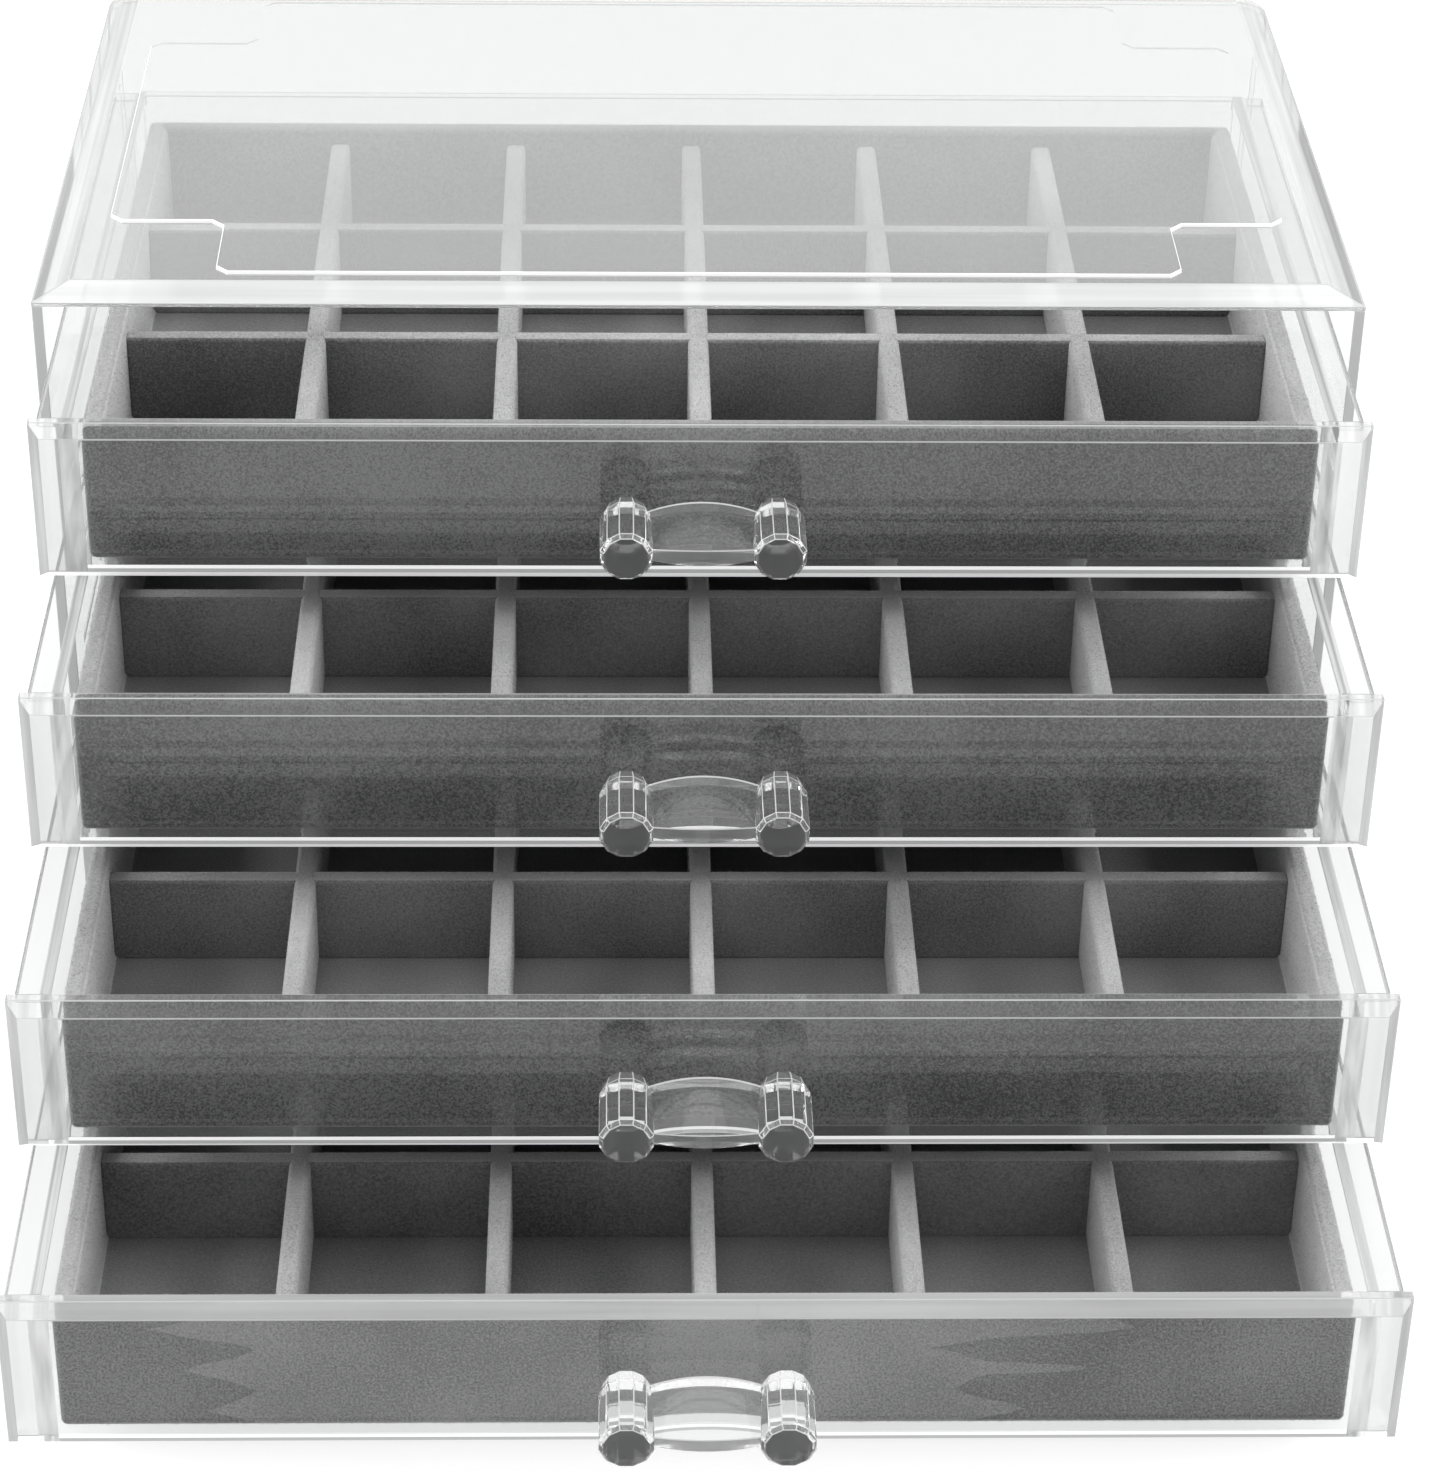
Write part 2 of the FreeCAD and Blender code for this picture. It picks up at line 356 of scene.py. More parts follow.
def nap_group() -> Tree:
    """Grain, soft tone and brushed patches of velvet, as a colour and a height.

    Returns:
        The node group.
    """
    tree, start, end = group(
        "nap",
        (("Dark", "Color"), ("Light", "Color"), ("Grain Scale", "Float"), ("Patch Scale", "Float"),
         ("Grain", "Float"), ("Brushed", "Float")),
        (("Color", "Color"), ("Height", "Float")))
    place = add_node(tree, "ShaderNodeTexCoord").outputs["Object"]
    grain = add_node(tree, "ShaderNodeTexNoise", {
        "Vector": place, "Scale": start.outputs["Grain Scale"], "Detail": 4.0,
        "Roughness": 0.7}).outputs["Fac"]
    patches = add_node(tree, "ShaderNodeTexNoise", {
        "Vector": place, "Scale": start.outputs["Patch Scale"], "Detail": 2.0}).outputs["Fac"]
    centred = maths(tree, "SUBTRACT", grain, 0.5)
    mottled = maths(tree, "MULTIPLY_ADD", centred, start.outputs["Grain"], patches)
    spread = add_node(
        tree, "ShaderNodeMapRange", {"Value": mottled, "From Min": 0.2, "From Max": 0.8})
    cloth = blend(tree, spread.outputs["Result"], start.outputs["Dark"], start.outputs["Light"])
    split = add_node(tree, "ShaderNodeSeparateXYZ", {0: place})
    across, height = split.outputs["X"], split.outputs["Z"]
    reach = maths(tree, "ABSOLUTE", maths(tree, "ADD", across, ZIGZAG_SHIFT))
    zigzag = maths(tree, "PINGPONG", height, ZIGZAG_PITCH)
    wander = maths(tree, "MULTIPLY_ADD", patches, ZIGZAG_WANDER, zigzag)
    leaning = maths(tree, "MULTIPLY_ADD", height, ZIGZAG_LEAN, reach)
    past = maths(tree, "MULTIPLY_ADD", wander, ZIGZAG_SLOPE, leaning)
    inside = maths(tree, "GREATER_THAN", past, ZIGZAG_START)
    shade = maths(tree, "MULTIPLY", inside, start.outputs["Brushed"])
    brushed = blend(
        tree, shade, cloth, rgba((BRUSHED_TONE,) * 3), blend_type="SUBTRACT", clamp_result=True)
    feed(end, {"Color": brushed, "Height": grain})
    return tree


def clear_material(
    name: str, finish: ClearFinish, streaks: Tree) -> bpy.types.Material:
    """Refracting plastic that lets lamp light and bounced light through.

    Args:
        name: The material's name.
        finish: Its tint, gloss, haze and streaks.
        streaks: The group that draws streaks.

    Returns:
        The material.
    """
    material, shader = principled(name)
    tree = material.node_tree
    feed(shader, {
        "Base Color": rgba(finish.tint), "Roughness": finish.roughness, "IOR": finish.ior,
        "Emission Color": rgba(WHITE), "Emission Strength": finish.glow,
        "Transmission Weight": 1.0 - finish.haze})
    if finish.streaks:
        marks = add_node(tree, "ShaderNodeGroup", {
            "Scale": finish.streaks, "Low": rgba(finish.tint, finish.streak_low),
            "High": rgba(finish.tint)}, node_tree=streaks)
        feed(shader, {"Base Color": marks.outputs["Color"]})
    path = add_node(tree, "ShaderNodeLightPath")
    let_through = maths(
        tree, "MAXIMUM", path.outputs["Is Shadow Ray"], path.outputs["Is Diffuse Ray"])
    passing = add_node(tree, "ShaderNodeBsdfTransparent", {"Color": rgba((SHADOW_TINT,) * 3)})
    show_mixed(tree, let_through, shader, passing, "Material Output")
    return material


def velvet_material(
    name: str, finish: VelvetFinish, nap: Tree) -> bpy.types.Material:
    """Pile cloth with fine grain and broad brushed patches.

    Args:
        name: The material's name.
        finish: Its two tones, grain, bump and brushing.
        nap: The group that draws grain and patches.

    Returns:
        The material.
    """
    material, shader = principled(name)
    tree = material.node_tree
    cloth = add_node(tree, "ShaderNodeGroup", {
        "Dark": rgba(finish.dark), "Light": rgba(finish.light), "Patch Scale": PATCH_SCALE,
        "Grain Scale": finish.grain_scale, "Grain": finish.grain, "Brushed": finish.brushed,
    }, node_tree=nap)
    feed(shader, {
        "Base Color": cloth.outputs["Color"], "Roughness": 0.95, "Specular IOR Level": 0.1,
        "Sheen Weight": SHEEN, "Sheen Roughness": 0.4})
    if finish.bump:
        bump = add_node(tree, "ShaderNodeBump", {
            "Strength": finish.bump, "Distance": BUMP_DEPTH, "Height": cloth.outputs["Height"]})
        feed(shader, {"Normal": bump.outputs["Normal"]})
    return material


def make_materials() -> dict[Surface, bpy.types.Material]:
    """Every material that the pieces use.

    Returns:
        Material by surface.
    """
    streaks, nap = streak_group(), nap_group()
    made = {kind: clear_material(kind.value, finish, streaks) for kind, finish in CLEAR.items()}
    made |= {kind: velvet_material(kind.value, finish, nap) for kind, finish in VELVET.items()}
    return made


# Mesh building

def union_of_boxes(boxes: Sequence[Box]) -> Skin:
    """One closed skin round boxes that touch or overlap.

    Args:
        boxes: (low corner, high corner) of each box, in metres.

    Returns:
        The skin, with flat regions merged into single faces.
    """
    cuts = [
        sorted({round(corner[axis], 7) for box in boxes for corner in box}) for axis in range(3)]
    counts = [len(cut) - 1 for cut in cuts]

    def filled(i: int, j: int, k: int) -> bool:
        """Whether a cell between the cuts lies in a box."""
        middle = [(cuts[axis][n] + cuts[axis][n + 1]) / 2 for axis, n in enumerate((i, j, k))]
        return any(all(low[a] < middle[a] < high[a] for a in range(3)) for low, high in boxes)

    solid = {
        (i, j, k)
        for i in range(counts[0])
        for j in range(counts[1])
        for k in range(counts[2])
        if filled(i, j, k)
    }
    skin = bmesh.new()
    made: dict[tuple[int, int, int], bmesh.types.BMVert] = {}

    def vertex(key: tuple[int, int, int]) -> bmesh.types.BMVert:
        """The one vertex at a crossing of the cuts."""
        if key not in made:
            made[key] = skin.verts.new([cuts[axis][key[axis]] for axis in range(3)])
        return made[key]

    for cell in solid:
        for axis in range(3):
            for step in (-1, 1):
                beside = list(cell)
                beside[axis] += step
                if tuple(beside) in solid:
                    continue
                across, along = (axis + 1) % 3, (axis + 2) % 3
                corners = []
                for a, b in ((0, 0), (1, 0), (1, 1), (0, 1)):
                    key = list(cell)
                    key[axis] += 1 if step > 0 else 0
                    key[across] += a
                    key[along] += b
                    corners.append(vertex(tuple(key)))
                skin.faces.new(corners if step > 0 else corners[::-1])
    bmesh.ops.dissolve_limit(
        skin, angle_limit=math.radians(1), verts=skin.verts[:], edges=skin.edges[:])
    return skin


def wrap(
    skin: Skin, near: Sequence[bmesh.types.BMVert],
    far: Sequence[bmesh.types.BMVert],
) -> list[bmesh.types.BMFace]:
    """Quads between two rings of as many vertices.

    Args:
        skin: Where they go.
        near: The first ring.
        far: The second ring.

    Returns:
        The quads, in the order of the rings.
    """
    faces = []
    for index in range(len(near)):
        after = (index + 1) % len(near)
        faces.append(skin.faces.new((near[index], near[after], far[after], far[index])))
    return faces


def loft(rings: Sequence[Sequence[Point]], marked: int | None = None) -> Skin:
    """Closed skin through rings of as many points.

    Args:
        rings: The rings, from one end to the other.
        marked: A side whose quads are marked for a surface of their own.

    Returns:
        The skin.
    """
    skin = bmesh.new()
    loops = [[skin.verts.new(point) for point in ring] for ring in rings]
    skin.faces.new(loops[0][::-1])
    skin.faces.new(loops[-1])
    for near, far in zip(loops, loops[1:]):
        faces = wrap(skin, near, far)
        if marked is not None:
            faces[marked].material_index = 1
    return skin


def prism(outline: Sequence[tuple[float, float]], z_low: float, z_high: float) -> Skin:
    """Upright prism over a plan outline given anticlockwise."""
    return loft([[(x, y, z) for x, y in outline] for z in (z_low, z_high)])


def divide(
    skin: Skin, place: Sequence[float], normal: Sequence[float],
    trim: bool = False,
) -> list[bmesh.types.BMEdge]:
    """Cut a skin's faces along a plane.

    Args:
        skin: The mesh, changed in place.
        place: A point of the plane.
        normal: The plane's normal.
        trim: Whether what lies beyond the plane goes.

    Returns:
        The edges along the cut.
    """
    cut = bmesh.ops.bisect_plane(
        skin, geom=skin.verts[:] + skin.edges[:] + skin.faces[:],
        plane_co=place, plane_no=normal, clear_outer=trim)
    return [item for item in cut["geom_cut"] if isinstance(item, bmesh.types.BMEdge)]


def soften(skin: Skin, width: float, segments: int = 2, angle: float = 20.0) -> None:
    """Round every edge sharper than an angle.

    Args:
        skin: The mesh, changed in place.
        width: How far the rounding reaches, in metres.
        segments: Steps in the rounding.
        angle: Sharpness in degrees above which an edge is rounded.
    """
    bmesh.ops.recalc_face_normals(skin, faces=skin.faces[:])
    skin.normal_update()
    sharp = [
        edge for edge in skin.edges
        if edge.is_manifold and edge.calc_face_angle(0.0) > math.radians(angle)
    ]
    rounded = bmesh.ops.bevel(
        skin, geom=sharp, offset=width, offset_type="OFFSET", segments=segments,
        profile=0.5, affect="EDGES", clamp_overlap=True)
    for face in rounded["faces"]:
        face.material_index = 1


def mesh_from(name: str, skin: Skin) -> bpy.types.Mesh:
    """New mesh of a skin, which is freed."""
    mesh = bpy.data.meshes.new(name)
    skin.to_mesh(mesh)
    skin.free()
    return mesh


def placed(name: str, data: bpy.types.ID) -> bpy.types.Object:
    """New object in the scene."""
    made = bpy.data.objects.new(name, data)
    bpy.context.scene.collection.objects.link(made)
    return made


def finished(piece: bpy.types.Object) -> bpy.types.Mesh:
    """Plain mesh of an object as its modifiers leave it."""
    graph = bpy.context.evaluated_depsgraph_get()
    return bpy.data.meshes.new_from_object(piece.evaluated_get(graph))


def joined_solids(skins: Sequence[Skin]) -> Skin:
    """Exact union of closed meshes, with stray doubles merged.

    Args:
        skins: The meshes, which are freed.

    Returns:
        The union.
    """
    solids = []
    for skin in skins:
        mesh = mesh_from("solid", skin)
        mesh.materials.append(None)
        mesh.materials.append(None)
        solids.append(placed("solid", mesh))
    for other in solids[1:]:
        modifier = solids[0].modifiers.new("join", "BOOLEAN")
        modifier.operation = "UNION"
        modifier.solver = "EXACT"
        modifier.object = other
    meshes = [finished(solids[0]), *(solid.data for solid in solids)]
    joined = bmesh.new()
    joined.from_mesh(meshes[0])
    for solid in solids:
        bpy.data.objects.remove(solid)
    for mesh in meshes:
        bpy.data.meshes.remove(mesh)
    bmesh.ops.remove_doubles(joined, verts=joined.verts[:], dist=2 * MERGE)
    return joined


def weigh_normals(piece: bpy.types.Object) -> None:
    """Keep broad faces flat where they meet rounded edges.

    Args:
        piece: The object, whose mesh gets its new normals.
    """
    piece.modifiers.new("weigh", "WEIGHTED_NORMAL").keep_sharp = True
    weighed = finished(piece)
    piece.modifiers.clear()
    old, piece.data = piece.data, weighed
    bpy.data.meshes.remove(old)


@dataclass
class Workshop:
    """Turns meshes into finished pieces that ride on one CAD body."""

    materials: dict[Surface, bpy.types.Material]
    body: str

    def piece(
        self, name: str, skin: Skin, surface: Surface, slot: str, replaces: str,
        accents: Accents = (), padded: bool = False,
    ) -> bpy.types.Object:
        """Make the object, ride it on its body and hide the CAD part that it stands for.

        Args:
            name: The piece's name.
            skin: Its mesh, which is freed.
            surface: What it is made of.
            slot: The record's material slot; not used.
            replaces: The CAD node that it stands for.
            accents: Other surfaces, each with the test for the faces that take it.
            padded: Whether its roundings are shaded as one soft form.

        Returns:
            The object.
        """
        bmesh.ops.recalc_face_normals(skin, faces=skin.faces[:])
        mesh = mesh_from(name, skin)
        # Roundings of clear pieces take the grey edge plastic with its painted glow.
        edge = Surface.EDGE if surface in CLEAR else surface
        for used in (surface, edge, *(accent for accent, _ in accents)):
            mesh.materials.append(self.materials[used])
        for polygon in mesh.polygons:
            polygon.use_smooth = True
        mesh.set_sharp_from_angle(angle=math.radians(PADDED_ANGLE if padded else CRISP_ANGLE))
        for index, (_, takes) in enumerate(accents, start=2):
            for polygon in mesh.polygons:
                if takes(polygon):
                    polygon.material_index = index
        made = placed(name, mesh)
        if padded:
            weigh_normals(made)
        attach(made, self.body)
        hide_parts(replaces)
        LOG.info("%s: %d faces, rides on %s", name, len(made.data.polygons), self.body)
        return made


# The case

@dataclass
class Case:
    """The clear outer box: cover, walls, base, shelves and feet."""

    workshop: Workshop
    edge: float = 0.75 * MM
    bevel_width: float = 6.2 * MM
    corner_radius: float = 5.0 * MM
    pad_height: float = 0.8 * MM
    pad_side_margin: float = 11.1 * MM
    pad_end_margin: float = 8.3 * MM
    pad_notch: float = 21.0 * MM
    pad_cut: float = 2.2 * MM
    foot: float = 20.0 * MM
    wall: float = 2.0 * MM
    arc_steps: int = 10
    plate_rounding: float = 0.14 * MM
    shelf_rounding: float = 0.12 * MM
    wall_rounding: float = 0.2 * MM
    foot_rounding: float = 0.3 * MM
    cover_angle: float = 12.0
    corner_angle: float = 40.0

    def plan(self, inset: float) -> list[tuple[float, float]]:
        """Plan outline with rounded rear corners.

        Args:
            inset: How far it is drawn in at the sides and the back.

        Returns:
            The outline, anticlockwise.
        """
        low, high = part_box("base_panel")
        x_low, x_high, y_low, y_high = low.x + inset, high.x - inset, low.y, high.y - inset
        radius = self.corner_radius - inset
        outline = [(x_low, y_low), (x_high, y_low)]
        for centre_x, start in ((x_high - radius, 0.0), (x_low + radius, math.pi / 2)):
            for step in range(self.arc_steps + 1):
                turn = start + math.pi / 2 * step / self.arc_steps
                outline.append((
                    centre_x + radius * math.cos(turn), y_high - radius + radius * math.sin(turn)))
        return outline

    def notched_outline(self) -> list[tuple[float, float]]:
        """Plan outline of the raised field.

        Returns:
            The outline, anticlockwise.
        """
        low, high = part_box("base_panel")
        reach_x = high.x - self.pad_side_margin
        reach_y = (high.y - low.y) / 2 - self.pad_end_margin
        middle_y = (high.y + low.y) / 2
        inner_x, inner_y, cut = reach_x - self.pad_notch, reach_y - self.pad_notch, self.pad_cut
        corner = [
            (reach_x, inner_y - cut), (reach_x - cut, inner_y), (inner_x + cut, inner_y),
            (inner_x, inner_y + cut), (inner_x, reach_y - cut), (inner_x - cut, reach_y),
        ]
        outline: list[tuple[float, float]] = []
        for side_x, side_y in ((1, 1), (-1, 1), (-1, -1), (1, -1)):
            points = [(side_x * x, middle_y + side_y * y) for x, y in corner]
            outline += points if side_x == side_y else points[::-1]
        return outline

    def build_cover(self) -> None:
        """Top plate with mitred bevels and the raised, notched field."""
        low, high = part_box("top_cover")
        plate_top = high.z - self.pad_height
        skin = prism(self.plan(0.0), low.z, plate_top)
        drop = plate_top - low.z - self.edge
        for x, y in ((1, 0), (-1, 0), (0, -1)):
            foot_of_bevel = Vector((high.x * x, low.y * -y, low.z + self.edge))
            normal = Vector((x * drop, y * drop, self.bevel_width))
            bmesh.ops.edgeloop_fill(skin, edges=divide(skin, foot_of_bevel, normal, trim=True))
        top = max(skin.faces, key=lambda face: face.calc_center_median().z)
        rim = list(top.edges)
        bmesh.ops.delete(skin, geom=[top], context="FACES_ONLY")
        outline = self.notched_outline()
        foot = [skin.verts.new((x, y, plate_top)) for x, y in outline]
        head = [skin.verts.new((x, y, high.z)) for x, y in outline]
        wrap(skin, foot, head)
        skin.faces.new(head)
        ring = [skin.edges.get(pair) for pair in zip(foot, foot[1:] + foot[:1])]
        bmesh.ops.triangle_fill(skin, use_beauty=True, use_dissolve=False, edges=rim + ring)
        soften(skin, self.plate_rounding, 2, self.cover_angle)
        step_low, inner_low = plate_top + 0.1 * MM, plate_top - 0.2 * MM
        middle_y, rear_y = (low.y + high.y) / 2, high.y - 2 * MM

        def on_bevel(face: Face) -> bool:
            """Whether a face is one of the bevels round the plate."""
            return face.material_index == 0 and face.normal.z > HALF

        self.workshop.piece("cover", skin, Surface.COVER, "clear_case", "top_cover", (
            # Painted highlight: the raised field's step takes bright glowing lines, and over its
            # rear half it goes back to plain cover plastic.
            (Surface.LIP, lambda face: face.center.z > step_low and face.normal.z < 0.95),
            (Surface.COVER, lambda face: face.center.z > inner_low
             and middle_y < face.center.y < rear_y and face.normal.z > -HALF),
            (Surface.BEVEL, lambda face: on_bevel(face) and face.normal.y < -BARELY),
            (Surface.BEVEL_SIDE, lambda face: on_bevel(face) and abs(face.normal.x) > BARELY),
        ))

    def build_walls(self) -> None:
        """Side walls and the back wall with its rounded corners."""
        for side in ("left", "right"):
            low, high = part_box(f"{side}_wall")
            skin = union_of_boxes([(tuple(c + SEAM for c in low), tuple(c - SEAM for c in high))])
            soften(skin, self.wall_rounding)
            # The walls' front ends take the grey edge plastic with its painted glow.
            self.workshop.piece(
                f"{side}_side", skin, Surface.WALL, "clear_case", f"{side}_wall",
                ((Surface.EDGE, lambda face: face.normal.y < -SQUARE),))
        low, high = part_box("back_wall")
        outer, inner = (
            [point for point in self.plan(inset) if point[1] > low.y - SEAM]
            for inset in (0.0, self.wall))
        outline = [(x, max(y, low.y + SEAM)) for x, y in outer + inner[::-1]]
        skin = prism(outline, low.z + SEAM, high.z - SEAM)
        soften(skin, self.shelf_rounding, 2, self.corner_angle)
        self.workshop.piece("back", skin, Surface.WALL, "clear_case", "back_wall")

    def build_floor_and_shelves(self) -> None:
        """Base panel and the shelf under each upper drawer."""
        low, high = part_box("base_panel")
        skin = prism(self.plan(0.0), low.z, high.z)
        soften(skin, self.plate_rounding, 2, self.corner_angle)
        self.workshop.piece("base", skin, Surface.WALL, "clear_case", "base_panel")
        for number in (1, 2, 3):
            name = f"shelf_{number}"
            low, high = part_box(name)
            outline = [(x, max(y, low.y)) for x, y in self.plan(self.wall + SEAM)]
            skin = prism(outline, low.z, high.z)
            soften(skin, self.shelf_rounding, 2, self.corner_angle)
            self.workshop.piece(
                f"shelf_plate_{number}", skin, Surface.WALL, "clear_case", name)

    def build_feet(self) -> None:
        """Four square feet under the base's corners."""
        low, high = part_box("corner_feet")
        size = self.foot
        skin = union_of_boxes([
            ((x, y, low.z), (x + size, y + size, high.z - SEAM))
            for x in (low.x, high.x - size) for y in (low.y, high.y - size)])
        soften(skin, self.foot_rounding)
        self.workshop.piece("feet", skin, Surface.FEET, "clear_feet", "corner_feet")

    def build(self) -> None:
        """Build every piece of the case."""
        self.build_cover()
        self.build_walls()
        self.build_floor_and_shelves()
        self.build_feet()


# A drawer

@dataclass
class Drawer:
    """One drawer: clear front, tray and handle, and the velvet insert with its dividers."""

    workshop: Workshop
    number: int
    front_straight: float = 1.8 * MM
    front_bevel: float = 2.1 * MM
    front_rounding: float = 0.15 * MM
    # Heights of the grey strip and the white, glowing strip painted above the front's bottom
    # bevel.
    lip_grey: float = 0.8 * MM
    lip_white: float = 0.7 * MM
    tray_wall: float = 2.0 * MM
    tray_floor: float = 1.2 * MM
    tray_rounding: float = 0.2 * MM
    rear_wall: float = 2.2 * MM
    rim_overhang: float = 4.15 * MM
    rim_thickness: float = 2.0 * MM
    insert_wall: float = 3.5 * MM
    insert_floor: float = 5.0 * MM
    insert_lift: float = 0.1 * MM
    insert_rounding: float = 1.2 * MM
    rim_pile: float = 1.0
    wall_pile: float = 0.3
    floor_pile: float = 0.12
    divider_rounding: float = 0.8 * MM
    divider_tuck: float = 0.3 * MM
    cross_drop: float = 0.06 * MM
    divider_top_pile: float = 1.2
    divider_front_pile: float = 0.35
    divider_side_pile: float = 0.25
    post_spacing: float = 26.7 * MM
    post_width: float = 9.2 * MM
    post_length: float = 14.6 * MM
    post_disc: float = 7.8 * MM
    post_root: float = 7.8 * MM
    post_taper: float = 2.8 * MM
    post_rounding: float = 0.11 * MM
    post_angle: float = 8.0
    post_sides: int = 12
    grip_end_mm: Section = ((1.6, 1.4), (2.2, 1.355), (12.2, 0.6), (11.8, -1.5), (1.8, -1.2))
    grip_middle_mm: Section = ((1.1, 3.8), (1.7, 3.692), (14.4, 1.4), (12.4, -2.9), (1.3, 0.6))
    grip_inset: float = 2.0 * MM
    grip_rounding: float = 0.18 * MM
    grip_angle: float = 30.0
    grip_steps: int = 24

    def node(self, part: str) -> str:
        """Name of one of this drawer's CAD nodes or pieces."""
        return f"{self.workshop.body}_{part}"

    def build_front(self) -> None:
        """Plate with a bevel round its front face."""
        low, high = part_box(self.node("front"))
        skin = loft([
            [(low.x + inset, y, low.z + inset), (high.x - inset, y, low.z + inset),
             (high.x - inset, y, high.z - inset), (low.x + inset, y, high.z - inset)]
            for y, inset in (
                (high.y, 0.0), (high.y - self.front_straight, 0.0), (low.y, self.front_bevel))
        ])
        soften(skin, self.front_rounding)
        cloth_low, cloth_high = (corner.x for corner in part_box(self.node("insert")))
        tray_low, tray_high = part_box(self.node("tray"))
        wall_low, wall_high = tray_low.x + self.rim_overhang, tray_high.x - self.rim_overhang
        lip_low = low.z + self.front_bevel + self.lip_grey
        lip_high = lip_low + self.lip_white
        for x in (cloth_low, cloth_high, wall_low, wall_high):
            divide(skin, (x, 0, 0), ALONG_X)
        for z in (lip_low, lip_high):
            divide(skin, (0, 0, z), ALONG_Z)

        def on_front(face: Face) -> bool:
            """Whether a face is part of the flat front."""
            return face.normal.y < -SQUARE

        def on_top(face: Face) -> bool:
            """Whether a face is part of the top or of its bevel."""
            return face.normal.z > MOSTLY

        def by_cloth(face: Face) -> bool:
            """Whether a face lies within the velvet's width."""
            return cloth_low < face.center.x < cloth_high

        def by_tray(face: Face) -> bool:
            """Whether a face lies within the tray's width."""
            return wall_low < face.center.x < wall_high

        accents = (
            # The lowest drawer's top band takes the paler copy, as painted light.
            (Surface.BAND_PALE if self.number == 4 else Surface.BAND,
             lambda face: on_top(face) and face.material_index == 0),
            (Surface.EDGE_GREY, lambda face: HALF < abs(face.normal.x) < 0.8),
            (Surface.BEVEL_SIDE, lambda face: on_top(face) and face.material_index > 1
             and not by_cloth(face)),
            (Surface.SIDE, lambda face: on_front(face) and not by_tray(face)),
            (Surface.WALL_END, lambda face: on_front(face) and by_tray(face)
             and not by_cloth(face)),
            # Painted highlight along the front's lower edge: the bottom bevel and a strip above it
            # glow white, with a grey strip between them.
            (Surface.LIP, lambda face: face.normal.z < -HALF and face.normal.y < -HALF),
            (Surface.EDGE, lambda face: on_front(face) and by_cloth(face)
             and face.center.z < lip_low),
            (Surface.LIP, lambda face: on_front(face) and by_cloth(face)
             and lip_low < face.center.z < lip_high),
            (Surface.GLINT, lambda face: face.material_index == 1
             and face.normal.z > 0.4 and face.normal.y < -0.4 and abs(face.normal.x) < PARTLY),
        )
        self.workshop.piece(
            self.node("plate"), skin, Surface.FRONT, "clear_front", self.node("front"), accents)

    def build_tray(self) -> None:
        """Open tray with a rim along each side."""
        low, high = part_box(self.node("tray"))
        front, rear = low.y + SEAM, high.y
        x_low, x_high = low.x + self.rim_overhang, high.x - self.rim_overhang
        inner_low, inner_high = x_low + self.tray_wall, x_high - self.tray_wall
        rim = high.z - self.rim_thickness
        skin = union_of_boxes([
            ((x_low, front, low.z), (x_high, rear, low.z + self.tray_floor)),
            ((x_low, rear - self.rear_wall, low.z), (x_high, rear, high.z)),
            ((x_low, front, low.z), (inner_low, rear, high.z)),
            ((inner_high, front, low.z), (x_high, rear, high.z)),
            ((low.x, front, rim), (inner_low, rear, high.z)),
            ((inner_high, front, rim), (high.x, rear, high.z)),
        ])
        soften(skin, self.tray_rounding)
        for side in (x_low, x_high, inner_low, inner_high):
            divide(skin, (side, 0, 0), ALONG_X)
        top, below_rim = high.z - 0.1 * MM, rim - 1 * MM

        def on_top(face: Face) -> bool:
            """Whether a face is part of the flat top."""
            return face.normal.z > SQUARE and face.center.z > top

        def over_wall(face: Face) -> bool:
            """Whether a face lies over a side wall."""
            return (x_low < face.center.x < inner_low
                    or inner_high < face.center.x < x_high)

        accents = (
            (Surface.TRAY, lambda face: face.center.z < below_rim),
            (Surface.RIM, lambda face: on_top(face) and abs(face.center.x) > x_high),
            (Surface.WALL_TOP, lambda face: on_top(face) and over_wall(face)),
        )
        self.workshop.piece(
            self.node("clear_tray"), skin, Surface.TRAY, "clear_tray", self.node("tray"), accents)

    def build_insert(self) -> None:
        """Padded velvet floor with a wall round it."""
        low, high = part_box(self.node("insert"))
        wall, bottom = self.insert_wall, low.z + self.insert_lift
        skin = union_of_boxes([
            ((low.x, low.y, bottom), (high.x, high.y, low.z + self.insert_floor)),
            ((low.x, low.y, bottom), (low.x + wall, high.y, high.z)),
            ((high.x - wall, low.y, bottom), (high.x, high.y, high.z)),
            ((low.x, low.y, bottom), (high.x, low.y + wall, high.z)),
            ((low.x, high.y - wall, bottom), (high.x, high.y, high.z)),
        ])
        soften(skin, self.insert_rounding, 4)
        top, rear = high.z - 2 * MM, high.y - 0.1 * MM

        def outer_front(face: Face) -> bool:
            """Whether a face stands behind the clear front."""
            return face.normal.y < -PARTLY and face.center.y < low.y + wall / 2

        def on_wall_top(face: Face) -> bool:
            """Whether a face is part of the walls' tops."""
            return face.normal.z > PARTLY and face.center.z > top

        def inner_share(face: Face) -> float:
            """How dense the pale pile stands on a face."""
            if outer_front(face) or face.normal.z < -HALF or face.center.y > rear:
                return 0.0
            if face.normal.z > PARTLY:
                return self.rim_pile if on_wall_top(face) else self.floor_pile
            return self.wall_pile

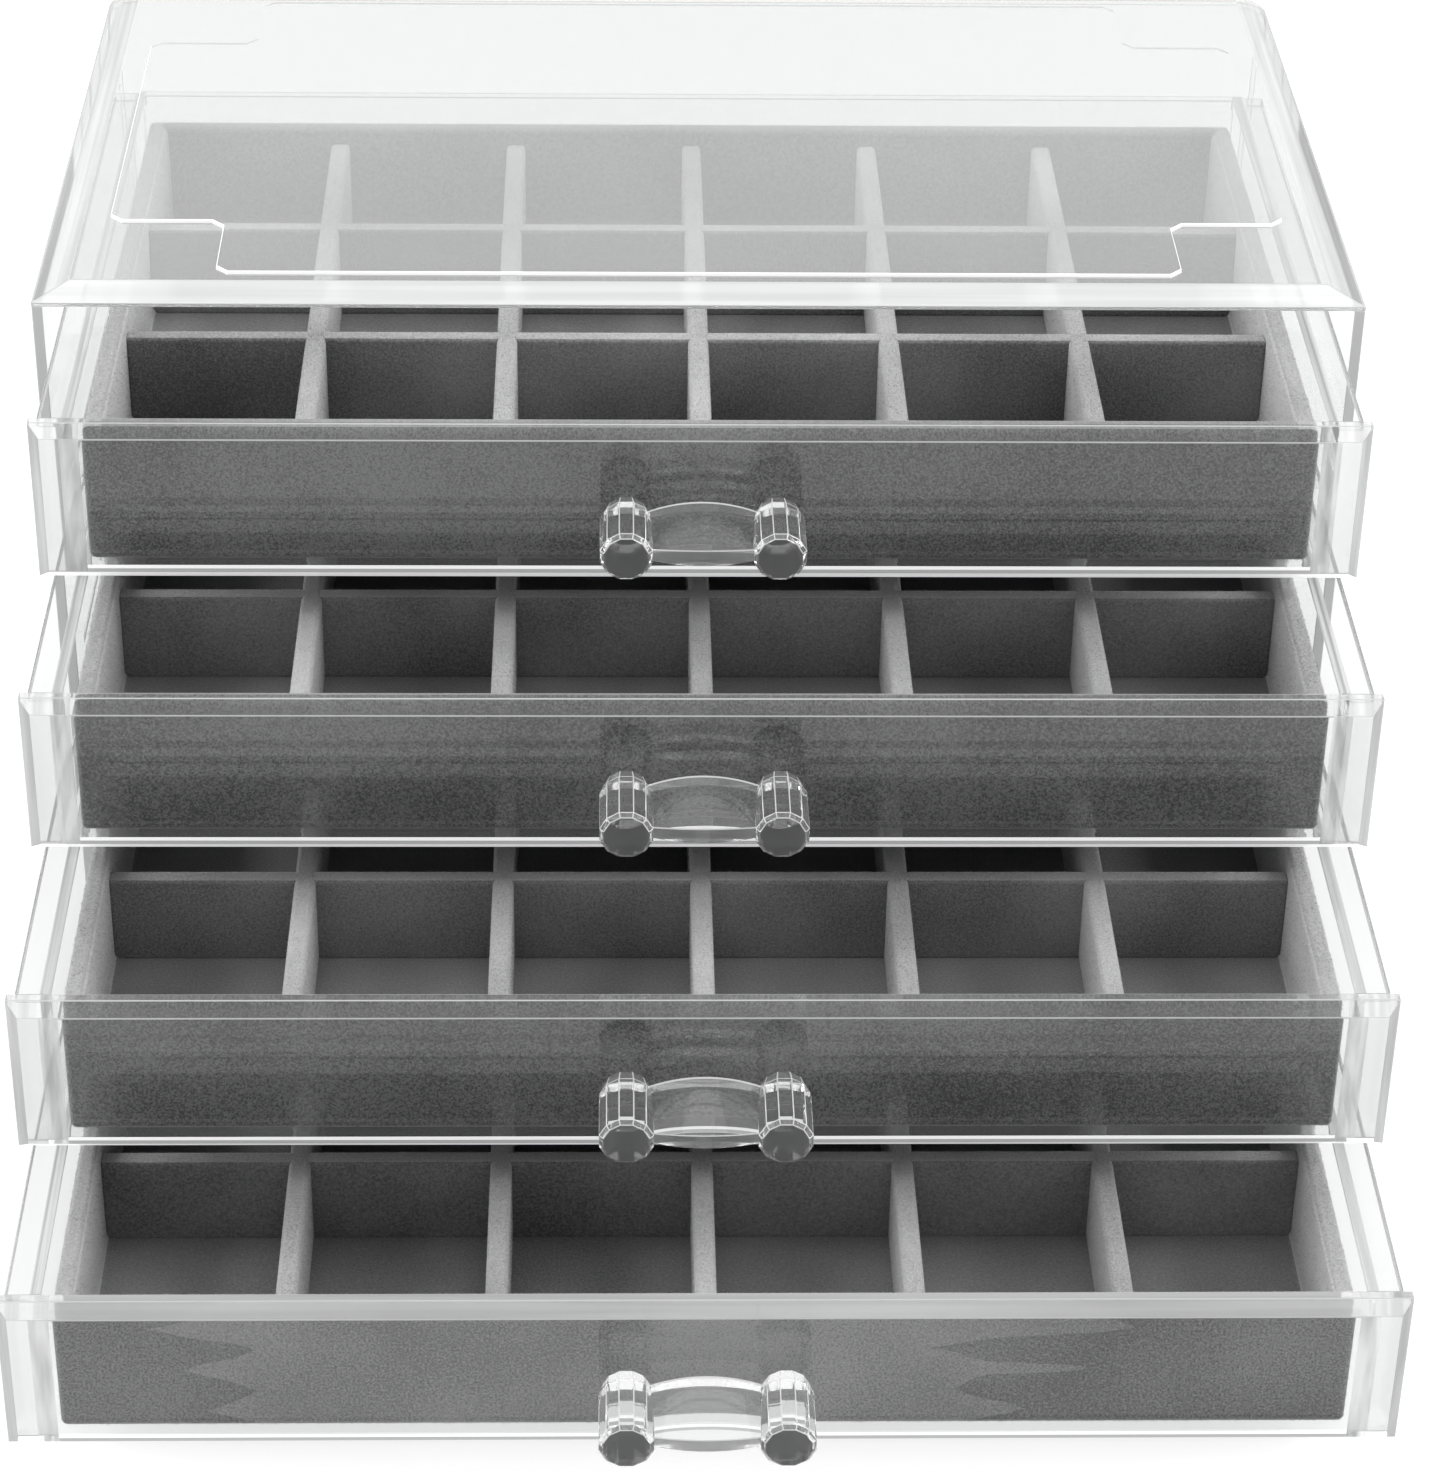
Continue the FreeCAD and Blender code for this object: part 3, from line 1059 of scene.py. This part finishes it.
        front_cloth = Surface.FRONT_CLOTH_PALE if self.number == 4 else Surface.FRONT_CLOTH
        accents = (
            # Painted light and shade by facing: lighter copies on the side walls' tops and inner
            # sides, darker ones on faces turned to the front and on the outer front.
            (Surface.DIVIDER, lambda face: on_wall_top(face) and not (
                low.x + wall < face.center.x < high.x - wall)),
            (Surface.SIDE_CLOTH, lambda face: abs(face.normal.x) > MOSTLY
             and low.x + wall / 2 < face.center.x < high.x - wall / 2),
            (Surface.CROSS_CLOTH, lambda face: face.normal.y < -MOSTLY),
            (front_cloth, outer_front),
        )
        cloth = self.workshop.piece(
            self.node("velvet"), skin, Surface.VELVET, "velvet", self.node("insert"), accents,
            padded=True)
        pile = Pile(self.workshop, "velvet")
        pile.grow(cloth, inner_share, "pile")
        # Darker fibres on the outer front, as painted shade.
        pile.grow(cloth, lambda face: 1.0 * outer_front(face), "front_pile", Surface.FRONT_PILE)

    def build_dividers(self) -> None:
        """Velvet strips that cross to make the cells."""
        for part, axis in (("long_dividers", 0), ("cross_dividers", 1)):
            strips = []
            for low, high in islands(self.node(part), axis):
                low[2] -= self.divider_tuck
                high[2] -= axis * self.cross_drop
                low[1 - axis] -= self.divider_tuck
                high[1 - axis] += self.divider_tuck
                strips.append((tuple(low), tuple(high)))
            skin = union_of_boxes(strips)
            soften(skin, self.divider_rounding, 3)
            # Divider strips take the lighter divider copy and their front-facing faces the darker
            # cross copy: painted light and shade.
            cloth = self.workshop.piece(
                self.node(f"velvet_{part}"), skin, Surface.DIVIDER, "velvet_divider",
                self.node(part),
                ((Surface.CROSS_CLOTH, lambda face: face.normal.y < -MOSTLY),), padded=True)

            def share(face: Face) -> float:
                """How dense the pile stands on a face."""
                if face.normal.z > PARTLY:
                    return self.divider_top_pile
                if face.normal.z < -PARTLY or face.normal.y > HALF:
                    return 0.0
                if face.normal.y < -HALF:
                    return self.divider_front_pile
                return self.divider_side_pile

            Pile(self.workshop, "velvet_divider").grow(cloth, share, "pile")

    def build_handle(self) -> None:
        """Two faceted posts joined by a swelling grip."""
        low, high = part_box(self.node("handle"))
        middle = Vector((0.0, high.y - SEAM, (low.z + high.z) / 2))
        posts = [
            self.post(middle + Vector((side * self.post_spacing / 2, 0, 0))) for side in (-1, 1)]
        skin = joined_solids([self.bridge(middle), *posts])
        accents = (
            # Painted highlight: lower roundings stay plain handle plastic, while upper roundings
            # and the grip's top strip take glowing lines.
            (Surface.HANDLE, lambda face: face.material_index == 1 and face.normal.z < 0.05),
            (Surface.FACET_EDGE, lambda face: face.material_index == 1),
            # The end discs are painted dark.
            (Surface.DISC, lambda face: face.normal.y < -0.99 and face.material_index == 0),
        )
        self.workshop.piece(
            self.node("pull"), skin, Surface.HANDLE, "clear_handle", self.node("handle"), accents)

    def post(self, centre: Vector) -> Skin:
        """Faceted post, chamfered at its end and tapered at its root.

        Args:
            centre: Where it stands on the front.

        Returns:
            The closed post.
        """
        full, disc, root = self.post_width / 2, self.post_disc / 2, self.post_root / 2
        half_side = math.pi / self.post_sides
        rings = []
        for out, reach in (
            (0.0, root), (self.post_taper, full), (self.post_length - full + disc, full),
            (self.post_length, disc),
        ):
            corner = reach / math.cos(half_side)
            turns = (half_side * (2 * side + 1) for side in range(self.post_sides))
            rings.append([
                centre + Vector((corner * math.sin(turn), -out, corner * math.cos(turn)))
                for turn in turns
            ])
        skin = loft(rings)
        soften(skin, self.post_rounding, 1, self.post_angle)
        return skin

    def bridge(self, centre: Vector) -> Skin:
        """Grip that swells from each post towards its middle.

        Args:
            centre: The middle between the posts, on the front.

        Returns:
            The closed grip, its top strip marked for a painted highlight.
        """
        reach = self.post_spacing / 2 - self.grip_inset
        rings = []
        for step in range(self.grip_steps + 1):
            along = 2 * step / self.grip_steps - 1
            swell = 1 - along * along
            rings.append([
                centre + Vector((
                    along * reach,
                    -(a[0] + (b[0] - a[0]) * swell) * MM,
                    (a[1] + (b[1] - a[1]) * swell) * MM))
                for a, b in zip(self.grip_end_mm, self.grip_middle_mm)
            ])
        skin = loft(rings, marked=0)
        soften(skin, self.grip_rounding, 1, self.grip_angle)
        return skin

    def build(self) -> None:
        """Build every piece of the drawer."""
        self.build_front()
        self.build_tray()
        self.build_insert()
        self.build_dividers()
        self.build_handle()


def islands(node: str, axis: int) -> list[list[list[float]]]:
    """Boxes of a CAD node's separate solids.

    Args:
        node: The node's name.
        axis: The axis they are spread along.

    Returns:
        [low corner, high corner] of each, in order along the axis.
    """
    skin = bmesh.new()
    skin.from_mesh(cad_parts[node].data)
    bmesh.ops.remove_doubles(skin, verts=skin.verts[:], dist=MERGE)
    seen: set[int] = set()
    found = []
    for start in skin.verts:
        if start.index in seen:
            continue
        stack, corners = [start], []
        seen.add(start.index)
        while stack:
            vert = stack.pop()
            corners.append(vert.co.copy())
            for edge in vert.link_edges:
                other = edge.other_vert(vert)
                if other.index not in seen:
                    seen.add(other.index)
                    stack.append(other)
        found.append([
            [pick(corner[axis] for corner in corners) for axis in range(3)]
            for pick in (min, max)
        ])
    skin.free()
    return sorted(found, key=lambda pair: pair[0][axis])


# Pile

@dataclass
class Pile:
    """Short fibres that stand on velvet, grown by a node tree."""

    workshop: Workshop
    slot: str
    length: float = 0.36 * MM
    width: float = 0.07 * MM
    density: float = 7.0e6
    lean: float = 0.7
    thinnest: float = 0.8
    thickest: float = 1.2
    shortest: float = 0.5
    longest: float = 1.15
    scatter_seed: int = 7
    lean_seed: int = 11
    growth_seed: int = 23

    def blade(self) -> bpy.types.Object:
        """One fibre: a narrow upright triangle.

        Returns:
            The fibre, which is in no scene.
        """
        skin = bmesh.new()
        half = self.width / 2
        skin.faces.new([
            skin.verts.new(co) for co in ((-half, 0, 0), (half, 0, 0), (0, 0, self.length))])
        return bpy.data.objects.new("blade", mesh_from("blade", skin))

    def tree(self) -> Tree:
        """Node tree that scatters blades where the face attribute "pile" says so.

        Returns:
            The tree.
        """
        tree, start, end = group(
            "pile",
            (("Cloth", "Geometry"), ("Blade", "Object"), ("Density", "Float"),
             ("Material", "Material")),
            (("Fibres", "Geometry"),), "GeometryNodeTree")
        share = add_node(
            tree, "GeometryNodeInputNamedAttribute", {"Name": "pile"}, data_type="FLOAT")
        scatter = add_node(tree, "GeometryNodeDistributePointsOnFaces", {
            "Mesh": start.outputs["Cloth"], "Seed": self.scatter_seed,
            "Density": maths(
                tree, "MULTIPLY", share.outputs["Attribute"], start.outputs["Density"]),
        }, distribute_method="RANDOM")
        blade = add_node(tree, "GeometryNodeObjectInfo", {"Object": start.outputs["Blade"]})
        lean, size = (
            add_node(tree, "FunctionNodeRandomValue", {
                "Min": least, "Max": most, "Seed": seed}, data_type="FLOAT_VECTOR").outputs[0]
            for least, most, seed in (
                ((-self.lean, -self.lean, 0.0), (self.lean, self.lean, 2 * math.pi),
                 self.lean_seed),
                ((self.thinnest, self.thinnest, self.shortest),
                 (self.thickest, self.thickest, self.longest), self.growth_seed)))
        turn = add_node(tree, "FunctionNodeEulerToRotation", {"Euler": lean})
        turned = add_node(tree, "FunctionNodeRotateRotation", {
            "Rotation": scatter.outputs["Rotation"], "Rotate By": turn.outputs["Rotation"],
        }, rotation_space="LOCAL")
        place = add_node(tree, "GeometryNodeInstanceOnPoints", {
            "Points": scatter.outputs["Points"], "Instance": blade.outputs["Geometry"],
            "Rotation": turned.outputs["Rotation"], "Scale": size})
        real = add_node(
            tree, "GeometryNodeRealizeInstances", {"Geometry": place.outputs["Instances"]})
        paint = add_node(tree, "GeometryNodeSetMaterial", {
            "Geometry": real.outputs["Geometry"], "Material": start.outputs["Material"]})
        feed(end, {"Fibres": paint.outputs["Geometry"]})
        return tree

    def grow(
        self, cloth: bpy.types.Object, share: Callable[[Face], float], suffix: str,
        surface: Surface = Surface.PILE,
    ) -> None:
        """Grow fibres on a velvet piece, as one piece of their own.

        Args:
            cloth: The velvet piece.
            share: How dense the pile stands on a face, from 0 to 1 or more.
            suffix: What the fibres' name adds to the velvet's.
            surface: What the fibres are made of.
        """
        source = cloth.data.copy()
        layer = source.attributes.new("pile", "FLOAT", "FACE")
        for polygon in source.polygons:
            layer.data[polygon.index].value = share(polygon)
        carrier = placed(f"{cloth.name}_carrier", source)
        tree, blade = self.tree(), self.blade()
        values = {
            "Blade": blade, "Density": self.density, "Material": self.workshop.materials[surface]}
        modifier = carrier.modifiers.new("pile", "NODES")
        modifier.node_group = tree
        for item in tree.interface.items_tree:
            if item.in_out == "INPUT" and item.name in values:
                modifier[item.identifier] = values[item.name]
        mesh = finished(carrier)
        mesh.name = name = f"{cloth.name}_{suffix}"
        bpy.data.objects.remove(carrier)
        bpy.data.objects.remove(blade)
        bpy.data.node_groups.remove(tree)
        fibres = placed(name, mesh)
        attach(fibres, self.workshop.body)
        LOG.info("%s: %d fibres", name, len(mesh.polygons))


# The studio

@dataclass(frozen=True)
class Lamp:
    """Square soft lamp that faces the box."""

    name: str
    place: Point
    size: float
    watts: float

    def build(self, aim: Point) -> None:
        """Stand the lamp in the studio.

        Args:
            aim: The point that it faces.
        """
        data = bpy.data.lights.new(self.name, "AREA")
        data.shape = "SQUARE"
        data.size = self.size
        data.energy = self.watts
        turn = (Vector(aim) - Vector(self.place)).to_track_quat("-Z", "Y")
        lamp = placed(self.name, data)
        lamp.matrix_world = Matrix.Translation(self.place) @ turn.to_matrix().to_4x4()


@dataclass
class Studio:
    """Floor, light and camera."""

    yaw: float = 1.71
    pitch: float = 32.75
    roll: float = 0.971
    place: Point = (-0.01585, -0.64784, 0.47795)
    focal_px: float = 4091.5
    world_light: float = 0.4
    floor_reach: float = 3.0
    floor_gap: float = 0.2 * MM
    floor_tone: float = 0.4
    floor_glow: float = 0.74
    aim: Point = (0.0, 0.0, 0.07)
    lamps: tuple[Lamp, ...] = (
        Lamp("overhead", (0.0, 0.15, 1.2), 0.9, 5.0),
        Lamp("left_side", (-1.0, 0.05, 0.5), 0.7, 9.0),
        Lamp("right_side", (1.0, 0.05, 0.5), 0.7, 9.0),
    )

    def build_camera(self) -> None:
        """Camera at the photograph's viewing angle."""
        yaw, pitch, roll = (math.radians(angle) for angle in (self.yaw, self.pitch, self.roll))
        forward = Vector((
            math.sin(yaw) * math.cos(pitch), math.cos(yaw) * math.cos(pitch), -math.sin(pitch)))
        level = Vector((math.cos(yaw), -math.sin(yaw), 0.0))
        upright = level.cross(forward)
        right = math.cos(roll) * level + math.sin(roll) * upright
        up = -math.sin(roll) * level + math.cos(roll) * upright
        data = bpy.data.cameras.new("camera")
        data.sensor_width = SENSOR_MM
        data.lens = self.focal_px / max(IMAGE_WIDTH, IMAGE_HEIGHT) * SENSOR_MM
        data.clip_start = 0.01
        camera = placed("camera", data)
        turn = Matrix((right, up, -forward)).transposed()
        camera.matrix_world = Matrix.Translation(self.place) @ turn.to_4x4()
        bpy.context.scene.camera = camera

    def build_floor(self) -> None:
        """White floor that shows soft shadows."""
        skin = bmesh.new()
        skin.faces.new([
            skin.verts.new((x * self.floor_reach, y * self.floor_reach, -self.floor_gap))
            for x, y in ((-1, -1), (1, -1), (1, 1), (-1, 1))])
        material, shader = principled("floor_white")
        feed(shader, {
            "Base Color": rgba(WHITE, self.floor_tone), "Roughness": 0.9,
            "Specular IOR Level": 0.0, "Emission Color": rgba(WHITE),
            "Emission Strength": self.floor_glow})
        floor = placed("floor", mesh_from("floor", skin))
        floor.data.materials.append(material)

    def build_world(self) -> None:
        """White to the eye and in reflections, softer as a light."""
        world = bpy.data.worlds.new("studio")
        world.use_nodes = True
        bpy.context.scene.world = world
        tree = world.node_tree
        soft = tree.nodes["Background"]
        feed(soft, {"Color": rgba(WHITE), "Strength": self.world_light})
        bright = add_node(
            tree, "ShaderNodeBackground", {"Color": rgba(WHITE), "Strength": 1.0})
        path = add_node(tree, "ShaderNodeLightPath")
        seen = path.outputs["Is Camera Ray"]
        for ray in ("Is Glossy Ray", "Is Transmission Ray"):
            seen = maths(tree, "MAXIMUM", seen, path.outputs[ray])
        show_mixed(tree, seen, soft, bright, "World Output")

    def build(self) -> None:
        """Build the whole studio."""
        self.build_camera()
        self.build_floor()
        self.build_world()
        for lamp in self.lamps:
            lamp.build(self.aim)
        paths = bpy.context.scene.cycles
        paths.transparent_max_bounces = 24
        paths.transmission_bounces = 16
        paths.max_bounces = 16
        bpy.context.scene.view_settings.view_transform = "Standard"


def main() -> None:
    """Build the studio and every piece."""
    logging.basicConfig(level=logging.INFO, format="%(message)s")
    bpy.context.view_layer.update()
    materials = make_materials()
    Case(Workshop(materials, "case")).build()
    for number in (1, 2, 3, 4):
        Drawer(Workshop(materials, f"drawer_{number}"), number).build()
    Studio().build()


if __name__ == "__main__":
    main()
